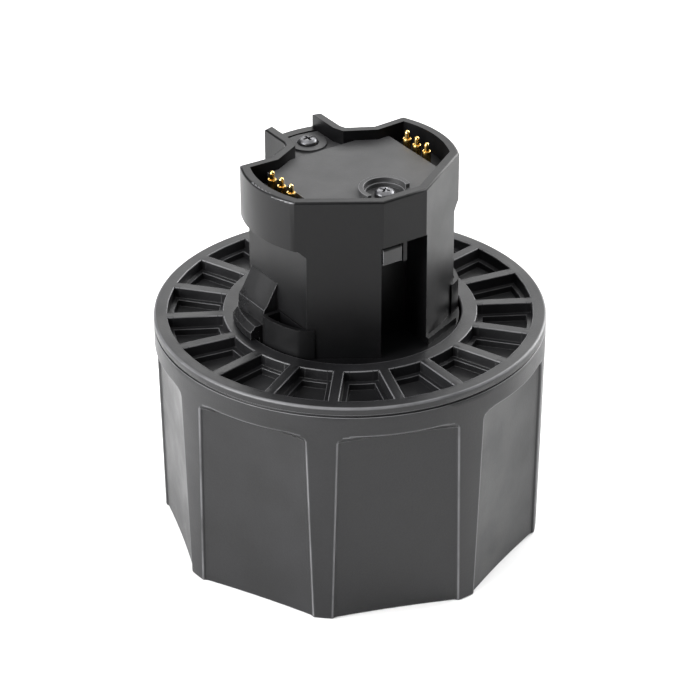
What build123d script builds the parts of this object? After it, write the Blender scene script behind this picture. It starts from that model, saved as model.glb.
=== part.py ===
from build123d import *
import math
import os

# Screw-coupled keyed plug connector, in millimetres.
# The origin is the centre of the coupling nut's open rim, which stands on z = 0.
# +Z runs up the plug's axis to the spring pins. +X runs through the wide contact lobe.
# +Y runs through the horned keyway lobe. The plug hangs in its nut by two clips.

os.makedirs("parts", exist_ok=True)

# ---- coupling nut
nut_height = 45.0
nut_top_r = 36.0
nut_open_r = 35.3
nut_turn = 3.0  # degrees from +X to the nearest grip rib
grip_count = 8
grip_rib_top = 6.4  # width of a rib strip where the panels start
grip_rib_open = 4.2  # its width at the open rim
panel_inset_top = 0.6  # step from the rib down to the edge of a panel
panel_inset_open = 0.55
panel_hollow = 0.3  # how far the middle of a panel sinks below its edges
band_height = 5.3  # plain round band above the panels
scoop_height = 2.6
lip_groove_depth = 0.35
lip_groove_height = 0.45
lip_height = 1.5
web_thickness = 5.5
outer_ring_width = 2.5
hub_wall = 2.9
pocket_count = 18
pocket_turn = 11.0  # degrees from +X to the nearest pocket rib
pocket_rib = 1.9
pocket_depth = 2.0
pocket_step = 1.0
pocket_floor_depth = 3.2

# ---- coupling thread, a 60 mm coarse trapezoid thread with a 6 mm pitch
thread_major_r = 30.3
thread_crest_r = 27.8
thread_pitch = 6.0
thread_start = 5.0
thread_clear = 8.5  # plain bore between the thread and the web
thread_root_width = 3.8
thread_crest_width = 1.8
sleeve_wall = 1.6
mouth_r = 31.3
mouth_depth = 1.3

# ---- keyed stem
stem_rise = 30.5  # from the nut's top face to the stem's rim
lobe_r = 19.8
lobe_half_angle = 26.7
key_flat_half = 4.6
key_flat_y = 17.4
horn_half = 6.2
horn_r = 19.6
notch_root = (11.2, 8.6)
notch_throat = (6.6, 11.1)
stem_wall = 1.7
ledge_width = 1.25
rim_round = 0.45
collar_height = 9.7
undercut_step = 2.5
lobe_flat_x = 16.0
foot_r = 20.0
foot_top_drop = 0.9  # foot's top face below the nut's top face
horn_gap_drop = 2.5
guard_height = 6.0
guard_wall = 0.8
guard_centre = (12.2, -3.6)
guard_r = 7.9
guard_reach = 2.6  # how far the guard runs past its centre towards the horns
rib_outline = ((4.9, -17.0), (4.9, -18.0), (13.6, -14.4), (13.2, -13.6))
rib_height = 1.3

# ---- deck, contact blocks and spring pins
deck_drop = 1.9
deck_thickness = 1.6
deck_end_x = 13.2
deck_screw_y = (13.7, -11.0)
deck_recess_depth = 0.8
lip_rise = 0.9
lip_outer_r = 4.7
lip_wall = 0.9
recess_r = 3.45  # flat round each deck screw
deck_step_y = 8.8  # beyond this the deck drops to a low tab between the horns
block_height = 4.2
block_drop = 3.9
pins_per_group = 3
pin_pitch = 3.06
pin_x = 14.6
pin_tip_above_rim = 0.4
plunger_r = 0.5
plunger_head_r = 0.58
plunger_head_height = 1.45
barrel_r = 0.8
barrel_bore_r = 0.62
barrel_below_rim = 1.2
barrel_lip = 0.3
pin_run = 0.04  # radial running clearance of a plunger
spring_wire = 0.18
spring_turns = 7
board_thickness = 1.2
board_half_width = 5.7

# ---- key window and latch
window_drop = 9.2
window_half = 4.9
window_depth = 6.8
window_wall = 1.4
latch_half_width = 2.0
latch_height = 3.5
latch_thickness = 1.8
latch_pin_r = 0.55
latch_pin_seat = 0.5  # how far the pin enters the wall on each side
divider_width = 0.8

# ---- skirt, flange and bulkhead
skirt_end = 3.8
skirt_wall = 1.4
skirt_lobe_r = 19.5
skirt_lobe_half = 8.9
skirt_key_half = 6.7
skirt_arm_half = 5.8
skirt_arm_end = 20.4
skirt_round = 3.6
flange_r = 27.0
flange_thickness = 2.6
flange_opening_r = 12.0
bulkhead_z = 16.0
bulkhead_thickness = 2.0
brace_y = 12.6
brace_thickness = 1.0
brace_end = 9.0
gasket_inner_r = 22.5
gasket_outer_r = 26.6
gasket_thickness = 1.6
seal_mid_r = 18.9
seal_width = 1.0
seal_depth = 0.8
float_travel = 1.5  # axial play of the nut on the plug
washer_thickness = 1.2
washer_outer_r = 26.5
housing_screw_r = 17.0
housing_screw_angles = (45, 135, -52, -128)

# ---- round socket
plate_face = 7.2
plate_thickness = 2.4
plate_centre_r = 9.25
plate_ear_r = 4.7
plate_ear_x = 10.25
socket_r = 5.0
socket_wall = 0.65
socket_step = 0.25  # ledge in the shell that the insert fills up to
socket_proud = 0.3
socket_length = 8.1
insert_recess = 1.7
insert_length = 5.8
contact_circle_r = 2.75
contact_hole_r = 0.45
contact_wall = 0.17
contact_ring_count = 7
contact_recess = 0.6
contact_tail = 2.4
socket_nut_flats = 11.5
socket_nut_height = 2.2
cable_r = 3.3

# ---- screws and inserts
screw_r = 1.0
screw_head_r = 1.9
screw_head_height = 1.2
deck_screw_length = 4.6
housing_screw_length = 6.0
plate_screw_length = 5.5
recess_width = 0.5
recess_length = 2.2
recess_depth = 0.7
insert_r = 1.6
insert_height = 4.0
boss_wall = 1.2

# ---- clearances
run_gap = 0.4  # radial, nut hub on the foot
face_gap = 0.3  # between faces of separate moving bodies
bearing_gap = 0.1  # slip washer under the web
fit_gap = 0.1  # around covers and blocks set into a housing

# ---- retaining clips
clip_reach = 1.4  # how far a clip overhangs the hub ring
clip_from_y = -0.4
clip_to_y = 8.0
clip_height = 2.4
clip_body_x = 19.4  # outer face of a clip's upright body
clip_body_top = 6.0  # height of that face above the foot's face of the nut
clip_ramp_height = 4.2  # the body's top slopes up to the stem

# ---- levels along the axis
stem_top = nut_height + stem_rise
web_z = nut_height - web_thickness
thread_length = web_z - thread_start - thread_clear
washer_top = web_z - bearing_gap
washer_z = washer_top - washer_thickness
flange_top = washer_z - face_gap - float_travel
flange_z = flange_top - flange_thickness
foot_top = nut_height - foot_top_drop
deck_top = stem_top - deck_drop
deck_z = deck_top - deck_thickness
block_top = stem_top - block_drop
block_z = block_top - block_height
board_z = block_z - fit_gap - board_thickness
collar_z = stem_top - collar_height
window_top = stem_top - window_drop
roof_top = window_top + window_wall
pin_tip = stem_top + pin_tip_above_rim
barrel_top = stem_top - barrel_below_rim
spring_z = block_z + 0.2
plunger_head_top = barrel_top - barrel_lip - 0.05
plunger_head_z = plunger_head_top - plunger_head_height
guard_top = foot_top + guard_height
clip_z = nut_height + face_gap
plate_back = plate_face + plate_thickness
hub_r = foot_r + run_gap
hub_outer_r = hub_r + hub_wall
pocket_outer_r = nut_top_r - outer_ring_width
sleeve_r = thread_major_r + sleeve_wall
washer_inner_r = hub_r + 0.6
cavity_inset = stem_wall + ledge_width


def polar(radius, angle):
    """Point at a radius and an angle in degrees."""
    return (radius * math.cos(math.radians(angle)), radius * math.sin(math.radians(angle)))


def on_circle(radius, offset):
    """The other coordinate of a point on a circle."""
    return math.sqrt(radius**2 - offset**2)


def stem_profile(inset=0.0):
    """Keyed outline of the stem, drawn inwards by inset."""
    corner = polar(lobe_r, lobe_half_angle)
    horn_end = (horn_half, on_circle(horn_r, horn_half))
    with BuildSketch() as profile:
        with BuildLine():
            Line((0, -key_flat_y), (key_flat_half, -key_flat_y))
            Line((key_flat_half, -key_flat_y), (corner[0], -corner[1]))
            ThreePointArc((corner[0], -corner[1]), (lobe_r, 0), corner)
            Polyline(corner, notch_root, notch_throat, (horn_half, notch_throat[1] + 1.2), horn_end)
            ThreePointArc(horn_end, polar(horn_r, 90 - 8), (0, horn_r))
            mirror(about=Plane.YZ)
        make_face()
        if inset:
            offset(amount=-inset, kind=Kind.INTERSECTION)
    return profile.sketch


def skirt_profile(inset=0.0):
    """Cross-shaped outline of the skirt: one contact lobe is wide, the other is the key."""
    wide_x = on_circle(skirt_lobe_r, skirt_lobe_half)
    key_x = on_circle(skirt_lobe_r, skirt_key_half)
    with BuildSketch() as profile:
        with BuildLine():
            Line((0, -skirt_arm_end), (skirt_arm_half, -skirt_arm_end))
            Polyline(
                (skirt_arm_half, -skirt_arm_end),
                (skirt_arm_half, -skirt_lobe_half),
                (wide_x, -skirt_lobe_half),
            )
            ThreePointArc((wide_x, -skirt_lobe_half), (skirt_lobe_r, 0), (wide_x, skirt_lobe_half))
            Polyline(
                (wide_x, skirt_lobe_half),
                (skirt_arm_half, skirt_lobe_half),
                (skirt_arm_half, skirt_arm_end),
                (-skirt_arm_half, skirt_arm_end),
                (-skirt_arm_half, skirt_key_half),
                (-key_x, skirt_key_half),
            )
            ThreePointArc((-key_x, skirt_key_half), (-skirt_lobe_r, 0), (-key_x, -skirt_key_half))
            Polyline(
                (-key_x, -skirt_key_half),
                (-skirt_arm_half, -skirt_key_half),
                (-skirt_arm_half, -skirt_arm_end),
                (0, -skirt_arm_end),
            )
        make_face()
        inner = profile.vertices().sort_by(lambda v: Vector(v).length)[0:4]
        fillet(inner, radius=skirt_round)
        if inset:
            offset(amount=-inset, kind=Kind.INTERSECTION)
    return profile.sketch


def save(builder, name):
    """Label a finished piece and write its file."""
    builder.part.label = name
    export_step(builder.part, f"parts/{name}.step")


# =====================================================================
# Coupling nut: grip shell, thread sleeve and slip washer
# =====================================================================

def panel_plane_size(z):
    """Half width and apothem of a grip panel's edge line at height z."""
    share = min(max(z / (nut_height - band_height), 0), 1)
    radius = nut_open_r + (nut_top_r - nut_open_r) * share
    rib = grip_rib_open + (grip_rib_top - grip_rib_open) * share
    inset = panel_inset_open + (panel_inset_top - panel_inset_open) * share
    half = radius * math.sin(math.pi / grip_count) - rib / 2
    return half, on_circle(radius, half) - inset


panel_top = nut_height - band_height
scoop_z = panel_top - scoop_height
flare = 3.0

# Tool that sinks one grip panel, standing on the +X side
with BuildPart() as panel_tool:
    for z, fade in ((-1.0, 0.0), (scoop_z, 0.0), (panel_top, 1.0)):
        half, apothem = panel_plane_size(min(z, scoop_z))
        edge = apothem + fade * (nut_top_r + 0.6 - apothem)
        middle = edge - panel_hollow * (1 - 0.8 * fade)
        with BuildSketch(Plane.XY.offset(z)):
            with BuildLine():
                ThreePointArc((edge, -half), (middle, 0), (edge, half))
                Polyline(
                    (edge, half),
                    (edge + flare, half + flare),
                    (nut_top_r + 8, half + flare),
                    (nut_top_r + 8, -half - flare),
                    (edge + flare, -half - flare),
                    (edge, -half),
                )
            make_face()
    loft(ruled=True)

with BuildPart() as grip_shell:
    groove_z = nut_height - lip_height
    with BuildSketch(Plane.XZ):
        with BuildLine():
            Polyline(
                (sleeve_r, 0),
                (nut_open_r, 0),
                (nut_top_r, panel_top),
                (nut_top_r, groove_z - lip_groove_height),
                (nut_top_r - lip_groove_depth, groove_z - lip_groove_height),
                (nut_top_r - lip_groove_depth, groove_z),
                (nut_top_r, groove_z),
                (nut_top_r, nut_height),
                (hub_r, nut_height),
                (hub_r, web_z),
                (sleeve_r, web_z),
                close=True,
            )
        make_face()
    revolve(axis=Axis.Z)
    rims = grip_shell.edges().filter_by(GeomType.CIRCLE).group_by(Axis.Z)[-1]
    fillet(rims, radius=0.4)
    with PolarLocations(0, grip_count, start_angle=nut_turn + 180 / grip_count):
        add(panel_tool.part, mode=Mode.SUBTRACT)
    # Pockets with a stepped floor between the hub ring and the outer ring
    for depth, inset in ((pocket_depth, 0.0), (pocket_floor_depth, pocket_step)):
        with BuildSketch(Plane.XY.offset(nut_height)):
            Circle(pocket_outer_r - inset)
            Circle(hub_outer_r + inset, mode=Mode.SUBTRACT)
            with PolarLocations((hub_outer_r + pocket_outer_r) / 2, pocket_count,
                                start_angle=pocket_turn):
                Rectangle(2 * outer_ring_width + pocket_outer_r - hub_outer_r,
                          pocket_rib + 2 * inset, mode=Mode.SUBTRACT)
        extrude(amount=-depth, mode=Mode.SUBTRACT)
save(grip_shell, "grip_shell")

with BuildPart() as thread_sleeve:
    lead_in = mouth_r - thread_major_r
    with BuildSketch(Plane.XZ):
        with BuildLine():
            Polyline(
                (thread_major_r, mouth_depth + lead_in),
                (mouth_r, mouth_depth),
                (mouth_r, 0),
                (sleeve_r, 0),
                (sleeve_r, web_z),
                (thread_major_r, web_z),
                close=True,
            )
        make_face()
    revolve(axis=Axis.Z)
    with BuildLine() as thread_path:
        Helix(pitch=thread_pitch, height=thread_length, radius=thread_major_r,
              center=(0, 0, thread_start))
    start = thread_path.line @ 0
    with BuildSketch(Plane(origin=start, x_dir=(-1, 0, 0), z_dir=thread_path.line % 0)):
        with BuildLine():
            Polyline(
                (-sleeve_wall / 4, -thread_root_width / 2),
                (thread_major_r - thread_crest_r, -thread_crest_width / 2),
                (thread_major_r - thread_crest_r, thread_crest_width / 2),
                (-sleeve_wall / 4, thread_root_width / 2),
                close=True,
            )
        make_face()
    sweep(path=thread_path.line, is_frenet=True)
save(thread_sleeve, "thread_sleeve")

with BuildPart() as slip_washer:
    with BuildSketch(Plane.XY.offset(washer_z)):
        Circle(washer_outer_r)
        Circle(washer_inner_r, mode=Mode.SUBTRACT)
    extrude(amount=washer_thickness)
save(slip_washer, "slip_washer")


# =====================================================================
# Stem housing
# =====================================================================

with BuildPart() as stem_housing:
    with BuildSketch(Plane.XY.offset(flange_top)):
        add(stem_profile())
    extrude(amount=stem_top - flange_top)
    rim = stem_housing.faces().sort_by(Axis.Z)[-1].edges()
    fillet(rim, radius=rim_round)

    # The contact lobes are cut back to a flat below the collar
    with BuildSketch(Plane.XZ):
        with BuildLine():
            Polyline(
                (lobe_flat_x, flange_top - 1),
                (lobe_flat_x, collar_z - 1.3),
                (lobe_flat_x + 1.3, collar_z),
                (lobe_r + undercut_step, collar_z),
                (lobe_r + undercut_step, flange_top - 1),
                close=True,
            )
        make_face()
        mirror(about=Plane.YZ)
    extrude(amount=lobe_r, both=True, mode=Mode.SUBTRACT)

    # Round foot that the nut's hub turns on
    with BuildSketch(Plane.XY.offset(flange_top)):
        Circle(foot_r)
    extrude(amount=foot_top - flange_top)

    # Curved guard walls, each with a pocket behind it
    for side in (-1, 1):
        with BuildSketch(Plane.XY.offset(foot_top)):
            with Locations((side * guard_centre[0], guard_centre[1])):
                Circle(guard_r)
            Circle(foot_r, mode=Mode.INTERSECT)
            with Locations((side * foot_r, guard_centre[1] - foot_r / 2)):
                Rectangle(2 * (foot_r - lobe_flat_x + 1), foot_r + 2 * guard_reach,
                          mode=Mode.INTERSECT)
        extrude(amount=guard_height)

    # Low rib beside the wide lobe, standing on the foot
    with BuildSketch(Plane.XY.offset(foot_top)):
        Polygon(*rib_outline, align=None)
    extrude(amount=rib_height)

    # Inside: deck pocket, upper cavity and lower cavity
    with BuildSketch(Plane.XY.offset(deck_z)):
        add(stem_profile(stem_wall))
    extrude(amount=stem_top - deck_z + 1, mode=Mode.SUBTRACT)
    for low, high, half in (
        (collar_z - 0.3, deck_z, lobe_r),
        (flange_top, collar_z - 0.3, lobe_flat_x - stem_wall),
    ):
        with BuildSketch(Plane.XY.offset(low)):
            add(stem_profile(cavity_inset))
            Rectangle(2 * half, 3 * foot_r, mode=Mode.INTERSECT)
            with Locations((0, -key_flat_y)):
                Rectangle(2 * (window_half + window_wall), 2 * (window_depth + window_wall),
                          mode=Mode.SUBTRACT)
        extrude(amount=high - low, mode=Mode.SUBTRACT)
    with BuildSketch(Plane.XY.offset(block_z)):
        add(stem_profile(stem_wall))
        Rectangle(2 * (deck_end_x + 0.2), 3 * foot_r, mode=Mode.SUBTRACT)
    extrude(amount=stem_top - block_z, mode=Mode.SUBTRACT)

    # Key window, open from the foot up to its roof
    with BuildSketch(Plane.XY.offset(foot_top)):
        with Locations((0, -key_flat_y)):
            Rectangle(2 * window_half, 2 * window_depth)
    extrude(amount=window_top - foot_top, mode=Mode.SUBTRACT)

    # Room above the window's roof is open again to the cavity
    with BuildSketch(Plane.XY.offset(roof_top)):
        add(stem_profile(cavity_inset))
    extrude(amount=deck_z - roof_top, mode=Mode.SUBTRACT)

    # Divider rib beside the latch
    with BuildSketch(Plane.XY.offset(window_top - latch_height - face_gap)):
        with Locations((divider_width / 2 - 0.3, -key_flat_y + 1.9)):
            Rectangle(divider_width, 3.6)
    extrude(amount=latch_height + face_gap)

    # Screw bosses under the deck
    for y in deck_screw_y:
        with BuildSketch(Plane.XY.offset(roof_top)):
            with Locations((0, y)):
                Circle(insert_r + boss_wall)
            with Locations((0, y + math.copysign(horn_r / 2, y))):
                Rectangle(2 * insert_r, horn_r)
            add(stem_profile(stem_wall), mode=Mode.INTERSECT)
        extrude(amount=deck_z - roof_top)
        with BuildSketch(Plane.XY.offset(deck_z)):
            with Locations((0, y)):
                Circle(insert_r)
        extrude(amount=-insert_height, mode=Mode.SUBTRACT)

    # The end wall between the horns stands lower than the rim
    with BuildSketch(Plane.XY.offset(stem_top - horn_gap_drop)):
        with Locations((0, horn_r)):
            Rectangle(2 * (horn_half - stem_wall), 2 * (stem_wall + 1.6))
    extrude(amount=horn_gap_drop + 1, mode=Mode.SUBTRACT)

    # Pockets behind the guard walls
    for side in (-1, 1):
        with BuildSketch(Plane.XY.offset(guard_top)):
            with Locations((side * guard_centre[0], guard_centre[1])):
                Circle(guard_r - guard_wall)
            Circle(foot_r - guard_wall, mode=Mode.INTERSECT)
            with Locations((side * foot_r, guard_centre[1] - foot_r / 2)):
                Rectangle(2 * (foot_r - lobe_flat_x - guard_wall / 2), foot_r + 2 * (guard_reach - guard_wall),
                          mode=Mode.INTERSECT)
        extrude(amount=guard_wall - guard_height, mode=Mode.SUBTRACT)

    # Bore for the latch pin, seal groove's mate and screw holes in the foot
    latch_axis_z = window_top - 1.0
    latch_axis_y = -key_flat_y + 1.2
    with BuildSketch(Plane.YZ.offset(-window_half - latch_pin_seat)):
        with Locations((latch_axis_y, latch_axis_z)):
            Circle(latch_pin_r)
    extrude(amount=window_half + latch_pin_seat + divider_width / 2, mode=Mode.SUBTRACT)
    for angle in housing_screw_angles:
        with BuildSketch(Plane.XY.offset(flange_top)):
            with Locations(polar(housing_screw_r, angle)):
                Circle(screw_r)
        extrude(amount=housing_screw_length - flange_thickness + 0.5, mode=Mode.SUBTRACT)
save(stem_housing, "stem_housing")

with BuildPart() as retaining_clips:
    for side in (-1, 1):
        for low, high, radius in (
            (foot_top, clip_z, foot_r),
            (clip_z, clip_z + clip_height, hub_r + clip_reach),
        ):
            with BuildSketch(Plane.XY.offset(low)):
                Circle(radius)
                with Locations((side * 2 * foot_r, (clip_from_y + clip_to_y) / 2)):
                    Rectangle(4 * foot_r - 2 * lobe_flat_x, clip_to_y - clip_from_y,
                              mode=Mode.INTERSECT)
            extrude(amount=high - low)
    noses = retaining_clips.edges().filter_by(GeomType.CIRCLE).group_by(Axis.Z)[-1]
    chamfer(noses, length=1.0)
    # Upright body behind each nose, whose top leans up against the stem
    with BuildSketch(Plane.XZ.offset(-clip_to_y)):
        with BuildLine():
            Polyline(
                (lobe_flat_x, clip_z),
                (clip_body_x, clip_z),
                (clip_body_x - 0.5, nut_height + clip_body_top - 0.6),
                (clip_body_x - 1.1, nut_height + clip_body_top),
                (lobe_flat_x, nut_height + clip_body_top + clip_ramp_height),
                close=True,
            )
        make_face()
        mirror(about=Plane.YZ)
    extrude(amount=clip_to_y - clip_from_y)
save(retaining_clips, "retaining_clips")


# =====================================================================
# Skirt housing: skirt, bulkhead and flange
# =====================================================================

with BuildPart() as skirt_housing:
    with BuildSketch(Plane.XY.offset(skirt_end)):
        add(skirt_profile())
    extrude(amount=flange_top - skirt_end)
    with BuildSketch(Plane.XY.offset(flange_z)):
        Circle(flange_r)
    extrude(amount=flange_thickness)
    for low, high in (
        (skirt_end, bulkhead_z),
        (bulkhead_z + bulkhead_thickness, flange_z),
    ):
        with BuildSketch(Plane.XY.offset(low)):
            add(skirt_profile(skirt_wall))
        extrude(amount=high - low, mode=Mode.SUBTRACT)
    with BuildSketch(Plane.XY.offset(flange_z)):
        Circle(flange_opening_r)
    extrude(amount=flange_thickness, mode=Mode.SUBTRACT)

    # Braces across the arms and bosses for the socket plate
    with BuildSketch(Plane.XY.offset(brace_end)):
        with Locations((0, brace_y), (0, -brace_y)):
            Rectangle(2 * skirt_arm_half, brace_thickness)
    extrude(amount=bulkhead_z - brace_end)
    with BuildSketch(Plane.XY.offset(plate_back)):
        with Locations((plate_ear_x, 0), (-plate_ear_x, 0)):
            Circle(plate_ear_r - 1.1)
    extrude(amount=bulkhead_z - plate_back)
    with BuildSketch(Plane.XY.offset(plate_back)):
        with Locations((plate_ear_x, 0), (-plate_ear_x, 0)):
            Circle(screw_r)
    extrude(amount=plate_screw_length, mode=Mode.SUBTRACT)

    # Cable way through the bulkhead, seal groove and screw holes in the flange
    with BuildSketch(Plane.XY.offset(bulkhead_z)):
        Circle(cable_r)
    extrude(amount=bulkhead_thickness, mode=Mode.SUBTRACT)
    with BuildSketch(Plane.XY.offset(flange_top)):
        Circle(seal_mid_r + seal_width / 2)
        Circle(seal_mid_r - seal_width / 2, mode=Mode.SUBTRACT)
    extrude(amount=-seal_depth, mode=Mode.SUBTRACT)
    with BuildSketch(Plane.XY.offset(flange_z)):
        with Locations([polar(housing_screw_r, angle) for angle in housing_screw_angles]):
            Circle(screw_r)
    extrude(amount=flange_thickness, mode=Mode.SUBTRACT)
save(skirt_housing, "skirt_housing")

with BuildPart() as housing_seal:
    with BuildSketch(Plane.XY.offset(flange_top - seal_depth)):
        Circle(seal_mid_r + seal_width / 2)
        Circle(seal_mid_r - seal_width / 2, mode=Mode.SUBTRACT)
    extrude(amount=seal_depth)
save(housing_seal, "housing_seal")

with BuildPart() as face_gasket:
    with BuildSketch(Plane.XY.offset(flange_z - gasket_thickness)):
        Circle(gasket_outer_r)
        Circle(gasket_inner_r, mode=Mode.SUBTRACT)
    extrude(amount=gasket_thickness)
    lips = face_gasket.edges().group_by(Axis.Z)[0]
    chamfer(lips, length=0.4)
save(face_gasket, "face_gasket")


# =====================================================================
# Screws and threaded inserts
# =====================================================================

def cross_recess(plane):
    """Cross slot cut into a screw head that faces along the plane's +Z."""
    with BuildSketch(plane) as slot:
        Rectangle(recess_length, recess_width)
        Rectangle(recess_width, recess_length)
    return slot.sketch


def pan_screws(places, head_seat, length, up):
    """Pan-head screws at places. The heads stand above the seat if up is 1, below if -1."""
    with BuildPart() as screws:
        with BuildSketch(Plane.XY.offset(head_seat)):
            with Locations(places):
                Circle(screw_head_r)
        extrude(amount=up * screw_head_height)
        crowns = screws.faces().filter_by(Axis.Z).group_by(Axis.Z)[-1 if up > 0 else 0]
        fillet(crowns.edges(), radius=0.5)
        with BuildSketch(Plane.XY.offset(head_seat)):
            with Locations(places):
                Circle(screw_r)
        extrude(amount=-up * length)
        with BuildSketch(Plane.XY.offset(head_seat + up * screw_head_height)):
            with Locations(places):
                add(cross_recess(Plane.XY))
        extrude(amount=-up * recess_depth, mode=Mode.SUBTRACT)
    return screws


deck_screw_places = [(0, y) for y in deck_screw_y]
deck_screw_seat = deck_top - deck_recess_depth
deck_screws = pan_screws(deck_screw_places, deck_screw_seat, deck_screw_length, 1)
save(deck_screws, "deck_screws")

housing_places = [polar(housing_screw_r, angle) for angle in housing_screw_angles]
housing_screws = pan_screws(housing_places, flange_z, housing_screw_length, -1)
save(housing_screws, "housing_screws")

plate_screw_places = [(plate_ear_x, 0), (-plate_ear_x, 0)]
plate_screw_seat = plate_face + 0.9
plate_screws = pan_screws(plate_screw_places, plate_screw_seat, plate_screw_length, -1)
save(plate_screws, "plate_screws")

with BuildPart() as deck_inserts:
    with BuildSketch(Plane.XY.offset(deck_z)):
        with Locations(deck_screw_places):
            Circle(insert_r)
            Circle(screw_r, mode=Mode.SUBTRACT)
    extrude(amount=-insert_height)
save(deck_inserts, "deck_inserts")


# =====================================================================
# Deck, contact blocks, board and spring pins
# =====================================================================

with BuildPart() as deck_cover:
    with BuildSketch(Plane.XY.offset(deck_z)):
        add(stem_profile(stem_wall + fit_gap))
        Rectangle(2 * deck_end_x, 3 * foot_r, mode=Mode.INTERSECT)
    extrude(amount=deck_thickness)
    # Arched lip around the key-side screw, open towards the key flat
    arch_y = deck_screw_y[1]
    with BuildSketch(Plane.XY.offset(deck_top)):
        with Locations((0, arch_y)):
            Circle(lip_outer_r)
            Circle(lip_outer_r - lip_wall, mode=Mode.SUBTRACT)
        with Locations((0, arch_y - lip_outer_r)):
            Rectangle(3 * lip_outer_r, 2 * lip_outer_r - 2.4, mode=Mode.SUBTRACT)
    extrude(amount=lip_rise)
    with BuildSketch(Plane.XY.offset(deck_top)):
        with Locations(deck_screw_places[1]):
            Circle(recess_r)
        add(stem_profile(stem_wall + 0.6), mode=Mode.INTERSECT)
    extrude(amount=-deck_recess_depth, mode=Mode.SUBTRACT)
    # Low tab between the horns, with a flat ring left standing round its screw
    with BuildSketch(Plane.XY.offset(deck_top)):
        with Locations((0, deck_step_y + foot_r)):
            Rectangle(3 * foot_r, 2 * foot_r)
    extrude(amount=-deck_recess_depth, mode=Mode.SUBTRACT)
    with BuildSketch(Plane.XY.offset(deck_top - deck_recess_depth)):
        with Locations(deck_screw_places[0]):
            Circle(recess_r)
            Circle(screw_head_r + fit_gap, mode=Mode.SUBTRACT)
        add(stem_profile(stem_wall + fit_gap), mode=Mode.INTERSECT)
    extrude(amount=deck_recess_depth / 2)
    with BuildSketch(Plane.XY.offset(deck_z)):
        with Locations(deck_screw_places):
            Circle(screw_r)
    extrude(amount=deck_thickness, mode=Mode.SUBTRACT)
save(deck_cover, "deck_cover")

pin_ys = [pin_pitch * (i - (pins_per_group - 1) / 2) for i in range(pins_per_group)]
groups = (("a", 1), ("b", -1))

for group, side in groups:
    spots = [(side * pin_x, y) for y in pin_ys]
    with BuildPart() as contact_block:
        with BuildSketch(Plane.XY.offset(block_z)):
            add(stem_profile(stem_wall + fit_gap))
            with Locations((side * (deck_end_x + 0.3 + lobe_r), 0)):
                Rectangle(2 * lobe_r, 3 * foot_r, mode=Mode.INTERSECT)
            with Locations(spots):
                Circle(barrel_r, mode=Mode.SUBTRACT)
        extrude(amount=block_height)
    save(contact_block, f"contact_block_{group}")

    with BuildPart() as pin_barrels:
        with BuildSketch(Plane.XY.offset(board_z)):
            with Locations(spots):
                Circle(barrel_r)
        extrude(amount=barrel_top - board_z)
        with BuildSketch(Plane.XY.offset(spring_z)):
            with Locations(spots):
                Circle(barrel_bore_r)
        extrude(amount=barrel_top - barrel_lip - spring_z, mode=Mode.SUBTRACT)
        with BuildSketch(Plane.XY.offset(barrel_top)):
            with Locations(spots):
                Circle(plunger_r + pin_run)
        extrude(amount=-barrel_lip, mode=Mode.SUBTRACT)
    save(pin_barrels, f"pin_barrels_{group}")

    for i, spot in enumerate(spots, start=1):
        x, y = spot
        with BuildPart() as plunger:
            with BuildSketch(Plane(origin=(x, y, 0), x_dir=(1, 0, 0), z_dir=(0, -1, 0))):
                with BuildLine():
                    Polyline(
                        (0, plunger_head_z),
                        (plunger_head_r, plunger_head_z),
                        (plunger_head_r, plunger_head_top),
                        (plunger_r, plunger_head_top),
                        (plunger_r, pin_tip - plunger_r),
                    )
                    RadiusArc((plunger_r, pin_tip - plunger_r), (0, pin_tip), -plunger_r)
                    Line((0, pin_tip), (0, plunger_head_z))
                make_face()
            revolve(axis=Axis((x, y, 0), (0, 0, 1)))
        save(plunger, f"plunger_{group}{i}")

        with BuildPart() as pin_spring:
            coil_r = barrel_bore_r - spring_wire / 2 - 0.06
            coil_z = spring_z + spring_wire / 2 + 0.02
            coil_height = plunger_head_z - spring_z - spring_wire - 0.04
            with BuildLine() as coil:
                Helix(pitch=coil_height / spring_turns, height=coil_height, radius=coil_r,
                      center=(x, y, coil_z))
            with BuildSketch(Plane(origin=coil.line @ 0, z_dir=coil.line % 0)):
                Circle(spring_wire / 2)
            sweep(path=coil.line, is_frenet=True)
        save(pin_spring, f"pin_spring_{group}{i}")

with BuildPart() as contact_board:
    with BuildSketch(Plane.XY.offset(board_z)):
        add(stem_profile(cavity_inset + fit_gap))
        Rectangle(2 * (pin_x + barrel_r + 0.6), 2 * board_half_width, mode=Mode.INTERSECT)
        with Locations([(side * pin_x, y) for side in (-1, 1) for y in pin_ys]):
            Circle(barrel_r, mode=Mode.SUBTRACT)
    extrude(amount=board_thickness)
save(contact_board, "contact_board")


# =====================================================================
# Key latch in the window
# =====================================================================

latch_x = -divider_width / 2 + 0.1 - face_gap - latch_half_width
with BuildPart() as key_latch:
    latch_low = window_top - face_gap - latch_height + 0.3
    with BuildSketch(Plane.XY.offset(latch_low)):
        with Locations((latch_x, -key_flat_y + 0.1 + latch_thickness / 2)):
            Rectangle(2 * latch_half_width, latch_thickness)
    extrude(amount=window_top - face_gap - latch_low)
    corners = key_latch.edges().filter_by(Axis.X).group_by(Axis.Z)
    fillet(corners[-1], radius=0.6)
    chamfer(corners[0].sort_by(Axis.Y)[-1], length=0.8)
    with BuildSketch(Plane.YZ.offset(latch_x - latch_half_width - 1)):
        with Locations((latch_axis_y, latch_axis_z)):
            Circle(latch_pin_r + 0.05)
    extrude(amount=2 * latch_half_width + 2, mode=Mode.SUBTRACT)
save(key_latch, "key_latch")

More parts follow.
